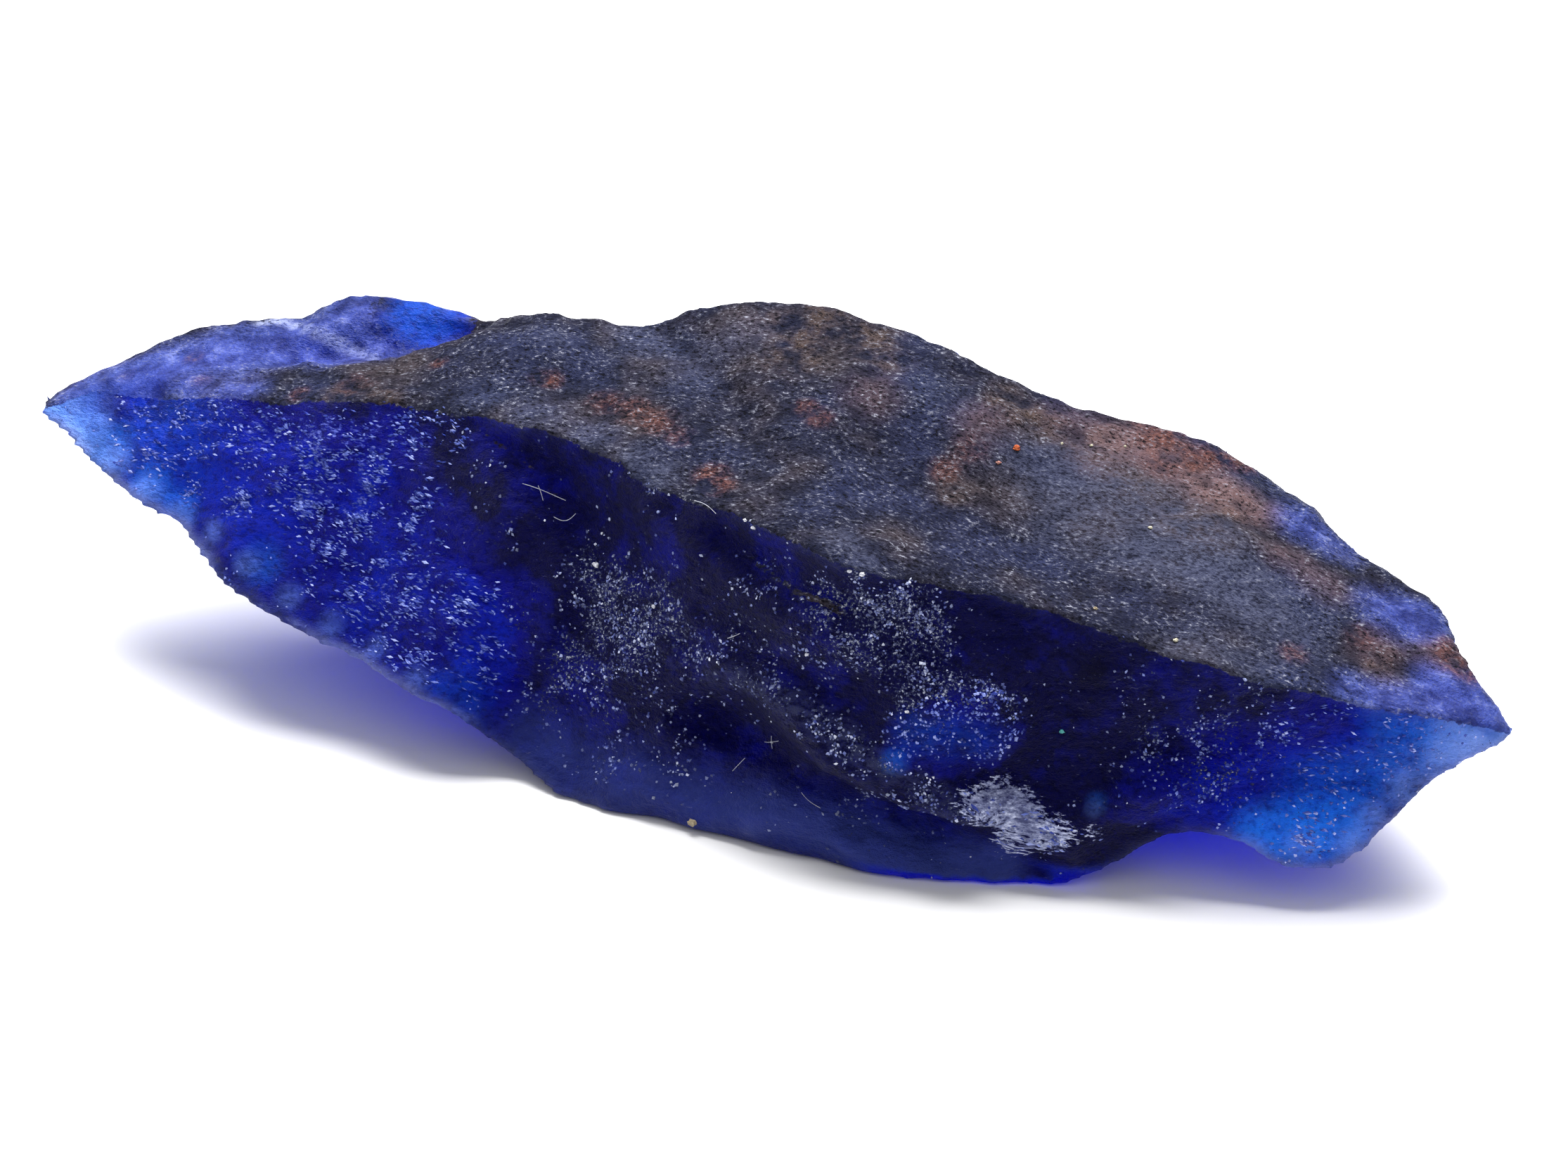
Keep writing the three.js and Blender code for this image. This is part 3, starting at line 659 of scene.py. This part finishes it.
grit = {
    "grains": [  # pixel across, pixel down, size in mm, kind
        (1445, 637, 0.16, "orange"), (1420, 658, 0.1, "pink"), (985, 1169, 0.2, "tan"),
        (1552, 634, 0.08, "pale"), (1510, 631, 0.08, "pale"), (1600, 635, 0.07, "pale"),
        (1636, 751, 0.1, "pale"), (1558, 866, 0.1, "tan"), (1672, 911, 0.11, "pale"),
        (1510, 1040, 0.1, "teal"), (1060, 740, 0.08, "white"), (1072, 750, 0.1, "white"),
        (1208, 812, 0.09, "white"), (1226, 816, 0.11, "white"), (1098, 1055, 0.06, "white"),
        (848, 802, 0.16, "white"), (930, 862, 0.1, "white"), (1290, 1012, 0.08, "white"),
        (1148, 930, 0.09, "white"),
    ],
    "fineness": 2,
    "lift": 0.3,  # shares of its size
    "uneven": 0.5,
    "squash": (1, 0.75, 0.6),
}


def makeGrain(number, px, py, size):
    place, normal = onStone(px, py)
    deselectAll()
    bpy.ops.mesh.primitive_ico_sphere_add(
        subdivisions=grit["fineness"], radius=size * mm, location=place + normal * grit["lift"] * size * mm,
    )
    grain = bpy.context.active_object
    bpy.ops.object.mode_set(mode="EDIT")
    bpy.ops.transform.vertex_random(offset=grit["uneven"] * size * mm, seed=number)
    bpy.ops.transform.resize(value=grit["squash"])
    bpy.ops.object.mode_set(mode="OBJECT")
    grain.rotation_euler = normal.to_track_quat("Z", "Y").to_euler()
    bpy.ops.object.transform_apply(location=True, rotation=True, scale=True)
    return grain


def joinPieces(pieces, name):
    deselectAll()
    for piece in pieces:
        piece.select_set(True)
    bpy.context.view_layer.objects.active = pieces[0]
    bpy.ops.object.join()
    whole = bpy.context.active_object
    whole.name = name
    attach(whole, "root")


bpy.context.view_layer.update()
fibres = [makeFibre(spots) for spots in lint["fibres"]]
grains = [makeGrain(number, *grain[:3]) for number, grain in enumerate(grit["grains"])]
print("dirt made,", len(fibres), "fibres and", len(grains), "grains")


# a socket fed by another socket, a colour or a number
def feed(tree, value, socket):
    if isinstance(value, tuple):
        socket.default_value = (*value, 1)
    elif isinstance(value, (int, float)):
        socket.default_value = value
    else:
        tree.links.new(value, socket)


def newLook(name):
    look = bpy.data.materials.new(name)
    look.use_nodes = True
    return look, look.node_tree, look.node_tree.nodes["Principled BSDF"].inputs


# value mapped from one span to another, smoothly
def mapNode(tree, value, low, high, toLow=0, toHigh=1):
    node = tree.nodes.new("ShaderNodeMapRange")
    node.interpolation_type = "SMOOTHSTEP"
    feed(tree, value, node.inputs["Value"])
    for name, amount in (("From Min", low), ("From Max", high), ("To Min", toLow), ("To Max", toHigh)):
        feed(tree, amount, node.inputs[name])
    return node.outputs["Result"]


# floor and light
stageLook = {
    "floorSize": 1.2,
    "floorColour": (0.86, 0.86, 0.87),
    "floorRoughness": 0.9,
    "skyColour": (1, 1, 1),
    "skyRise": (0.25, 0.65),  # how high the sky turns bright
    "skyLow": 0.05,
    "skyHigh": 0.68,
    "lamp": {"place": (-0.02, 0.15, 0.32), "size": 0.3, "power": 4.0},
}


def makeFloor():
    deselectAll()
    bpy.ops.mesh.primitive_plane_add(size=stageLook["floorSize"])
    floor = bpy.context.active_object
    floor.name = "floor"
    look, tree, paint = newLook("floor")
    feed(tree, stageLook["floorColour"], paint["Base Color"])
    feed(tree, stageLook["floorRoughness"], paint["Roughness"])
    floor.data.materials.append(look)


def makeLight():
    world = bpy.data.worlds.new("studio")
    bpy.context.scene.world = world
    world.use_nodes = True
    tree = world.node_tree
    where = tree.nodes.new("ShaderNodeTexCoord").outputs["Generated"]
    split = tree.nodes.new("ShaderNodeSeparateXYZ")
    feed(tree, where, split.inputs[0])
    sky = tree.nodes["Background"].inputs
    brightness = (stageLook["skyLow"], stageLook["skyHigh"])
    feed(tree, mapNode(tree, split.outputs["Z"], *stageLook["skyRise"], *brightness), sky["Strength"])
    feed(tree, stageLook["skyColour"], sky["Color"])
    bpy.context.scene.view_settings.view_transform = "Standard"
    lamp = stageLook["lamp"]
    bpy.ops.object.light_add(type="AREA", location=lamp["place"])
    key = bpy.context.active_object
    key.rotation_euler = Vector(lamp["place"]).to_track_quat("Z", "Y").to_euler()
    key.data.size = lamp["size"]
    key.data.energy = lamp["power"]
    key.visible_glossy = False  # no hard glint of the lamp on the ledges


makeFloor()
makeLight()
print("stage set")


def addNode(tree, kind, **values):
    node = tree.nodes.new(kind)
    for name, value in values.items():
        feed(tree, value, node.inputs[name])
    return node


def noiseNode(tree, vector, size, detail, rough):
    node = addNode(tree, "ShaderNodeTexNoise", Scale=1 / (size * mm), Detail=detail, Roughness=rough)
    feed(tree, vector, node.inputs["Vector"])
    return node.outputs["Fac"]


def markNode(tree, name):
    node = tree.nodes.new("ShaderNodeAttribute")
    node.attribute_name = name
    return node.outputs["Fac"]


# values put together one after another
def mathNode(tree, how, first, *others):
    for other in others:
        node = tree.nodes.new("ShaderNodeMath")
        node.operation = how
        feed(tree, first, node.inputs[0])
        feed(tree, other, node.inputs[1])
        first = node.outputs[0]
    return first


def rampNode(tree, value, *stops):
    node = tree.nodes.new("ShaderNodeValToRGB")
    feed(tree, value, node.inputs["Fac"])
    while len(node.color_ramp.elements) < len(stops):
        node.color_ramp.elements.new(0.5)
    for element, (place, colour) in zip(node.color_ramp.elements, stops):
        element.position = place
        element.color = (*colour, 1)
    return node.outputs["Color"]


def mixNode(tree, share, first, second, how="MIX"):
    node = tree.nodes.new("ShaderNodeMix")
    node.data_type = "RGBA"
    node.blend_type = how
    for number, value in ((0, share), (6, first), (7, second)):  # where the node keeps its colour sockets
        feed(tree, value, node.inputs[number])
    return node.outputs[2]


# blue crystal where it is broken, grey and rust-stained where it is weathered
sapphire = {
    "blue": [
        (0.05, (0.002, 0.002, 0.024)), (0.3, (0.003, 0.004, 0.11)),
        (0.62, (0.002, 0.003, 0.17)), (1.0, (0.002, 0.013, 0.35)),
    ],
    # azure and pale: painted glow of light coming through thin places
    "azure": (0.02, 0.24, 1.0),
    "pale": (0.25, 0.41, 1.0),
    # painted reflection of the white floor on ledges and belly
    "indigo": (0.04, 0.06, 0.3),
    # painted grey sheen of the roll
    "rollSheen": (0.05, 0.058, 0.115),
    # painted glow along sharp edges
    "rim": (0.2, 0.24, 0.55),
    "under": (0.05, 0.15, 0.75),
    # painted blue glow on the low front of the foot, which is made clear as well
    "low": (0.02, 0.05, 0.6),
    "inner": (0.12, 0.22, 0.4),  # the same faces met by light from inside
    "soot": (0.001, 0.001, 0.006),
    "crack": (0.3, 0.3, 0.35),  # how much light the cracks keep
    # frost and slivers: pale grains, and painted glints between the flakes
    "frost": [
        (0.0, (0.009, 0.012, 0.045)), (0.4, (0.036, 0.043, 0.095)),
        (0.75, (0.2, 0.22, 0.32)), (1.0, (0.5, 0.53, 0.62)),
    ],
    "sliver": [(0.0, (0.016, 0.03, 0.24)), (0.4, (0.06, 0.085, 0.4)), (1.0, (0.3, 0.36, 0.74))],
    # painted silvery sheen in streaks
    "shelf": [(0.36, (0.08, 0.09, 0.2)), (0.55, (0.25, 0.28, 0.46)), (0.7, (0.6, 0.64, 0.85))],
    "slate": [(0.32, (0.02, 0.025, 0.066)), (0.5, (0.016, 0.0175, 0.037)), (0.68, (0.04, 0.032, 0.038))],
    "shade": (0.4, 0.4, 0.42),  # how much light the dips in the cover keep
    "fleck": [(0.35, (0.06, 0.064, 0.09)), (0.65, (0.42, 0.43, 0.52))],
    "pit": (0.004, 0.004, 0.006),
    "rust": [(0.35, (0.04, 0.015, 0.013)), (0.65, (0.14, 0.055, 0.042))],
    "ochre": (0.085, 0.055, 0.038),
    "blush": (0.14, 0.083, 0.085),
    "violet": [(0.35, (0.03, 0.05, 0.3)), (0.58, (0.085, 0.125, 0.5)), (0.68, (0.22, 0.27, 0.7))],
    # painted sheen of the weathered top
    "crustSheen": (0.056, 0.062, 0.107),
    "cool": (0.036, 0.044, 0.095),
    "chalk": (0.45, 0.5, 0.75),
    "indigoCover": 0.8,
    "violetClear": 0.8,
    "absorbColour": (0.03, 0.4, 0.965),
    "absorbDensity": 700,
    "ior": 1.77,
    "sheen": (0.02, 0.02, 0.05),
    "bumpDepth": 0.12 * mm,
    "crustLumps": 1.5,
    "brokenLumps": 2.2,
}

# patterns of noise: size in mm, detail, roughness, and how some are turned and stretched to run one way
patterns = {
    "fine": {"size": 0.22, "detail": 2, "rough": 0.5},
    "middle": {"size": 1.1, "detail": 4, "rough": 0.6},
    "broad": {"size": 4.5, "detail": 3, "rough": 0.5},
    "crumbs": {"size": 0.13, "detail": 2, "rough": 0.75},
    "grain": {"size": 0.14, "detail": 3, "rough": 0.7, "turn": (0, 0, 8), "stretch": (0.6, 1, 1)},
    "crisp": {"size": 0.28, "detail": 4, "rough": 0.7, "turn": (0, 12, 0), "stretch": (0.62, 0.9, 1.1)},
    "slivers": {"size": 0.2, "detail": 2, "rough": 0.7, "turn": (0, 12, 0), "stretch": (0.42, 0.9, 1.3)},
    "streaks": {"size": 0.14, "detail": 3, "rough": 0.7, "turn": (0, -55, 0), "stretch": (0.3, 0.8, 1.1)},
}

# how each mark is broken up: by which pattern, over which span of it, and from which share to which
breakUp = {
    "azure": ("middle", 0.25, 0.55, 0.55, 1),
    "pale": ("middle", 0.3, 0.65, 0.4, 1),
    "rollSheen": ("crisp", 0.4, 0.6, 0.05, 0.6),
    "under": ("middle", 0.3, 0.65, 0.35, 1),
    "ochre": ("middle", 0.35, 0.65, 0, 1),
    "blush": ("middle", 0.3, 0.6, 0.35, 1),
    "cool": ("middle", 0.3, 0.6, 0.3, 0.9),
    "violet": ("middle", 0.3, 0.6, 0.6, 1),
    "crustSheen": ("grain", 0.35, 0.6, 0.25, 1),
    "chalk": ("grain", 0.35, 0.55, 0.3, 1),
    "rust": ("middle", 0.34, 0.56, 0, 1),
    "frost": ("middle", 0.3, 0.6, 0.45, 1),
    "scales": ("middle", 0.3, 0.55, 0.4, 1),
}

# other spans of a pattern or a mark, and the values that they are mapped to
spans = {
    "broadBlue": (0.3, 0.7, -0.15, 0.15),
    "middleBlue": (0.3, 0.7, -0.16, 0.16),
    "fineAzure": (0.3, 0.55, 0.6, 1),
    "cracks": (0.54, 0.36, 0, 0.85),
    "cracksOnPaintedLight": (0, 0.8, 1, 0.12),
    "rimGlow": (0.3, 0.7, 0.1, 0.7),
    "coverEdge": (0.3, 0.7, -0.2, 0.2),
    "cover": (0.35, 0.6, 0, 1),
    "shade": (0.55, 0.35, 0, 0.7),
    "rustGrain": (0.3, 0.5, 0, 1),
    "fleckGrain": (0.53, 0.7, 0, 1),
    "fleckPatches": (0.35, 0.65, 0.1, 0.75),
    "calmOnSheen": (0, 1, 1, 0.45),
    "pits": (0.48, 0.36, 0, 0.95),
    "pitsOnViolet": (0, 1, 1, 0.3),
    "strayFrost": (0.4, 0.65, 0.03, 0.25),
    "frostEdge": (0, 1, 0.64, 0.43),
    "sliverEdge": (0, 1, 0.9, 0.45),
    "crowd": (0, 0.32, 0, 1),
    "frostCover": (0.02, 0.3, 0, 1),
    "sliverCover": (0.02, 0.4, 0, 1),
    "shelfEdge": (0.3, 0.7, -0.45, 0.45),
    "shelf": (0.42, 0.62, 0, 1),
    "shelfPatches": (0.35, 0.65, -0.12, 0.08),
    "shutOnViolet": (0, 1, 1, 0.25),
    "livelyClear": (0.2, 0.8, 0.35, 0.4),
    "opaqueClear": (0, 1, 1, 0),
    "opaqueRoughness": (0, 1, 0.42, 0.6),
}


def spanNode(tree, value, name):
    return mapNode(tree, value, *spans[name])


def patternNodes(tree):
    where = tree.nodes.new("ShaderNodeTexCoord").outputs["Object"]
    made = {}
    for name, pattern in patterns.items():
        way = where
        if "turn" in pattern:
            turn = [math.radians(angle) for angle in pattern["turn"]]
            mapping = tree.nodes.new("ShaderNodeMapping")
            mapping.inputs["Rotation"].default_value = turn
            mapping.inputs["Scale"].default_value = pattern["stretch"]
            feed(tree, where, mapping.inputs["Vector"])
            way = mapping.outputs["Vector"]
        made[name] = noiseNode(tree, way, pattern["size"], pattern["detail"], pattern["rough"])
    return made


# a mark broken up by its pattern
def brokenMark(tree, made, name):
    pattern, *span = breakUp[name]
    return mathNode(tree, "MULTIPLY", markNode(tree, name), mapNode(tree, made[pattern], *span))


# small flakes: more of them, and brighter, where there is more room for them
def crowdNode(tree, pattern, room, edge):
    return spanNode(tree, mathNode(tree, "SUBTRACT", pattern, spanNode(tree, room, edge)), "crowd")


# the broken crystal, bluer where it is lively: partly painted glow of light coming through
def blueBody(tree, made, lively):
    blue = rampNode(tree, lively, *sapphire["blue"])
    # painted reflection of the white floor, mixed over the blue
    indigoShare = mathNode(tree, "MULTIPLY", markNode(tree, "indigo"), sapphire["indigoCover"])
    blue = mixNode(tree, indigoShare, blue, sapphire["indigo"])
    azureShare = brokenMark(tree, made, "azure")
    azureShare = mathNode(tree, "MULTIPLY", azureShare, spanNode(tree, made["fine"], "fineAzure"))
    blue = mixNode(tree, azureShare, blue, sapphire["azure"])
    paleShare = brokenMark(tree, made, "pale")
    blue = mixNode(tree, paleShare, blue, sapphire["pale"])
    paintedLight = mathNode(tree, "MAXIMUM", azureShare, paleShare, markNode(tree, "indigo"))
    # painted shade in the dips of the fine relief, calmed where glow and reflection are painted
    crackShare = spanNode(tree, made["crisp"], "cracks")
    crackShare = mathNode(tree, "MULTIPLY", crackShare, spanNode(tree, paintedLight, "cracksOnPaintedLight"))
    blue = mixNode(tree, crackShare, blue, sapphire["crack"], "MULTIPLY")
    blue = mixNode(tree, markNode(tree, "soot"), blue, sapphire["soot"])
    # painted grey sheen on the roll
    blue = mixNode(tree, brokenMark(tree, made, "rollSheen"), blue, sapphire["rollSheen"])
    # painted glow along the sharp edges, where the blue is lively
    rimGlowShare = mathNode(tree, "MULTIPLY", markNode(tree, "rim"), spanNode(tree, lively, "rimGlow"))
    blue = mixNode(tree, rimGlowShare, blue, sapphire["rim"])
    blue = mixNode(tree, brokenMark(tree, made, "under"), blue, sapphire["under"])
    # painted blue glow on the low front of the foot
    return mixNode(tree, markNode(tree, "low"), blue, sapphire["low"])


def weatheredCover(tree, made):
    grey = rampNode(tree, made["broad"], *sapphire["slate"])
    grey = mixNode(tree, spanNode(tree, made["middle"], "shade"), grey, sapphire["shade"], "MULTIPLY")
    for name in ("ochre", "blush", "cool"):
        grey = mixNode(tree, brokenMark(tree, made, name), grey, sapphire[name])
    violet = rampNode(tree, made["middle"], *sapphire["violet"])
    grey = mixNode(tree, brokenMark(tree, made, "violet"), grey, violet)
    # painted sheen on the weathered top, and a pale line
    for name in ("crustSheen", "chalk"):
        grey = mixNode(tree, brokenMark(tree, made, name), grey, sapphire[name])
    rustShare = brokenMark(tree, made, "rust")
    rustShare = mathNode(tree, "MULTIPLY", rustShare, spanNode(tree, made["grain"], "rustGrain"))
    grey = mixNode(tree, rustShare, grey, rampNode(tree, made["fine"], *sapphire["rust"]))
    # fewer flecks and pits under the painted sheen
    calmer = spanNode(tree, markNode(tree, "crustSheen"), "calmOnSheen")
    fleckGrain = spanNode(tree, made["grain"], "fleckGrain")
    fleckPatches = spanNode(tree, made["middle"], "fleckPatches")
    fleckShare = mathNode(tree, "MULTIPLY", fleckGrain, fleckPatches, calmer)
    grey = mixNode(tree, fleckShare, grey, rampNode(tree, made["fine"], *sapphire["fleck"]))
    fewer = spanNode(tree, markNode(tree, "violet"), "pitsOnViolet")
    pitShare = mathNode(tree, "MULTIPLY", spanNode(tree, made["grain"], "pits"), calmer, fewer)
    return mixNode(tree, pitShare, grey, sapphire["pit"])


# where the weathered cover lies, frayed at its edges
def coverShare(tree, made):
    edge = spanNode(tree, made["fine"], "coverEdge")
    patchy = mathNode(tree, "ADD", markNode(tree, "weathered"), edge)
    patchy = mathNode(tree, "SUBTRACT", patchy, markNode(tree, "bare"))
    return spanNode(tree, patchy, "cover")


# the blue with slivers, frost and silvery streaks on it, partly painted glints and a painted sheen, and how
# much the last two hide it
def flakedBlue(tree, made, blue):
    frostRoom = brokenMark(tree, made, "frost")
    frostRoom = mathNode(tree, "MAXIMUM", frostRoom, spanNode(tree, made["middle"], "strayFrost"))
    frost = crowdNode(tree, made["crumbs"], frostRoom, "frostEdge")
    frostCover = spanNode(tree, frost, "frostCover")
    sliver = crowdNode(tree, made["slivers"], brokenMark(tree, made, "scales"), "sliverEdge")
    sliverCover = spanNode(tree, sliver, "sliverCover")
    # painted silvery sheen in streaks on the ledge
    shelf = mathNode(tree, "ADD", markNode(tree, "shelf"), spanNode(tree, made["streaks"], "shelfEdge"))
    shelf = spanNode(tree, shelf, "shelf")
    shelfLight = mathNode(tree, "ADD", made["streaks"], spanNode(tree, made["middle"], "shelfPatches"))
    blue = mixNode(tree, sliverCover, blue, rampNode(tree, sliver, *sapphire["sliver"]))
    blue = mixNode(tree, frostCover, blue, rampNode(tree, frost, *sapphire["frost"]))
    blue = mixNode(tree, shelf, blue, rampNode(tree, shelfLight, *sapphire["shelf"]))
    return blue, mathNode(tree, "MAXIMUM", frostCover, shelf)


def makeSapphire():
    look, tree, paint = newLook("sapphire")
    made = patternNodes(tree)
    patchyBlue = [spanNode(tree, made["broad"], "broadBlue"), spanNode(tree, made["middle"], "middleBlue")]
    lively = mathNode(tree, "ADD", markNode(tree, "royal"), *patchyBlue)
    blue, flaked = flakedBlue(tree, made, blueBody(tree, made, lively))
    cover = coverShare(tree, made)
    colour = mixNode(tree, cover, blue, weatheredCover(tree, made))
    fromInside = tree.nodes.new("ShaderNodeNewGeometry").outputs["Backfacing"]
    feed(tree, mixNode(tree, fromInside, colour, sapphire["inner"]), paint["Base Color"])
    # clear where nothing hides the crystal
    shut = mathNode(tree, "MULTIPLY", cover, spanNode(tree, markNode(tree, "violet"), "shutOnViolet"))
    # the painted floor reflection lets no light through, except where the foot glow is painted
    dull = mathNode(tree, "SUBTRACT", markNode(tree, "indigo"), markNode(tree, "low"))
    opaque = mathNode(tree, "MAXIMUM", flaked, shut, dull, brokenMark(tree, made, "rollSheen"))
    thin = mathNode(tree, "MULTIPLY", markNode(tree, "violet"), sapphire["violetClear"])
    thin = mathNode(tree, "MAXIMUM", thin, markNode(tree, "under"), markNode(tree, "low"))
    inside = mathNode(tree, "MAXIMUM", spanNode(tree, lively, "livelyClear"), thin)
    clear = mathNode(tree, "MULTIPLY", spanNode(tree, opaque, "opaqueClear"), inside)
    feed(tree, mathNode(tree, "MAXIMUM", clear, fromInside), paint["Transmission Weight"])
    feed(tree, spanNode(tree, opaque, "opaqueRoughness"), paint["Roughness"])
    feed(tree, sapphire["ior"], paint["IOR"])
    feed(tree, sapphire["sheen"], paint["Specular Tint"])
    # fine relief
    crustHeight = mathNode(tree, "MULTIPLY", made["middle"], sapphire["crustLumps"])
    crustHeight = mathNode(tree, "ADD", made["grain"], crustHeight)
    brokenHeight = mathNode(tree, "MULTIPLY", made["crisp"], sapphire["brokenLumps"])
    height = mixNode(tree, markNode(tree, "weathered"), brokenHeight, crustHeight)
    bump = addNode(tree, "ShaderNodeBump", Strength=1.0, Distance=sapphire["bumpDepth"], Height=height)
    feed(tree, bump.outputs["Normal"], paint["Normal"])
    # light that goes through
    absorb = addNode(tree, "ShaderNodeVolumeAbsorption", Density=sapphire["absorbDensity"])
    feed(tree, sapphire["absorbColour"], absorb.inputs["Color"])
    feed(tree, absorb.outputs[0], tree.nodes["Material Output"].inputs["Volume"])
    return look


stone.data.materials.append(makeSapphire())

# flakes: from dull blue to almost white, bluer on the rows of scales
flakeLook = {
    "sugar": [
        (0.0, (0.03, 0.034, 0.08)), (0.35, (0.085, 0.095, 0.165)),
        (0.7, (0.29, 0.32, 0.44)), (1.0, (0.8, 0.83, 0.92)),
    ],
    "scale": [
        (0.0, (0.01, 0.02, 0.18)), (0.35, (0.028, 0.048, 0.3)),
        (0.7, (0.16, 0.21, 0.58)), (1.0, (0.42, 0.48, 0.86)),
    ],
    "roughness": 0.35,
    "sheen": (0.3, 0.36, 0.7),
}


def makeFlakeLook():
    look, tree, paint = newLook("flakes")
    shine = markNode(tree, "shine")
    sugar, scale = (rampNode(tree, shine, *flakeLook[kind]) for kind in ("sugar", "scale"))
    feed(tree, mixNode(tree, markNode(tree, "lavender"), sugar, scale), paint["Base Color"])
    feed(tree, flakeLook["roughness"], paint["Roughness"])
    feed(tree, sapphire["ior"], paint["IOR"])
    feed(tree, flakeLook["sheen"], paint["Specular Tint"])
    return look


flakeMaterial = makeFlakeLook()
for piece in flakePieces:
    piece.data.materials.append(flakeMaterial)

# dirt: each kind from a dark to a light colour, mottled
dirtColours = {
    "lint": ((0.3, 0.32, 0.4), (0.55, 0.56, 0.62)),
    "orange": ((0.3, 0.05, 0.02), (0.6, 0.16, 0.06)),
    "pink": ((0.3, 0.12, 0.1), (0.5, 0.26, 0.22)),
    "tan": ((0.2, 0.16, 0.1), (0.45, 0.38, 0.26)),
    "pale": ((0.3, 0.28, 0.2), (0.6, 0.57, 0.45)),
    "teal": ((0.03, 0.2, 0.2), (0.1, 0.4, 0.38)),
    "white": ((0.3, 0.31, 0.38), (0.75, 0.76, 0.82)),
}
dirtMottle = {"size": 0.08, "detail": 3, "rough": 0.6, "dark": 0.35, "light": 0.65, "roughness": 0.8}


def makeDirt(kind):
    look, tree, paint = newLook("dirt_" + kind)
    where = tree.nodes.new("ShaderNodeTexCoord").outputs["Object"]
    dark, light = dirtColours[kind]
    mottle = noiseNode(tree, where, dirtMottle["size"], dirtMottle["detail"], dirtMottle["rough"])
    colour = rampNode(tree, mottle, (dirtMottle["dark"], dark), (dirtMottle["light"], light))
    feed(tree, colour, paint["Base Color"])
    feed(tree, dirtMottle["roughness"], paint["Roughness"])
    return look


dirtLooks = {kind: makeDirt(kind) for kind in dirtColours}
for fibre in fibres:
    fibre.data.materials.append(dirtLooks["lint"])
for grain, values in zip(grains, grit["grains"]):
    grain.data.materials.append(dirtLooks[values[-1]])
joinPieces(fibres, "lint")
joinPieces(grains, "grit")
print("looks made")
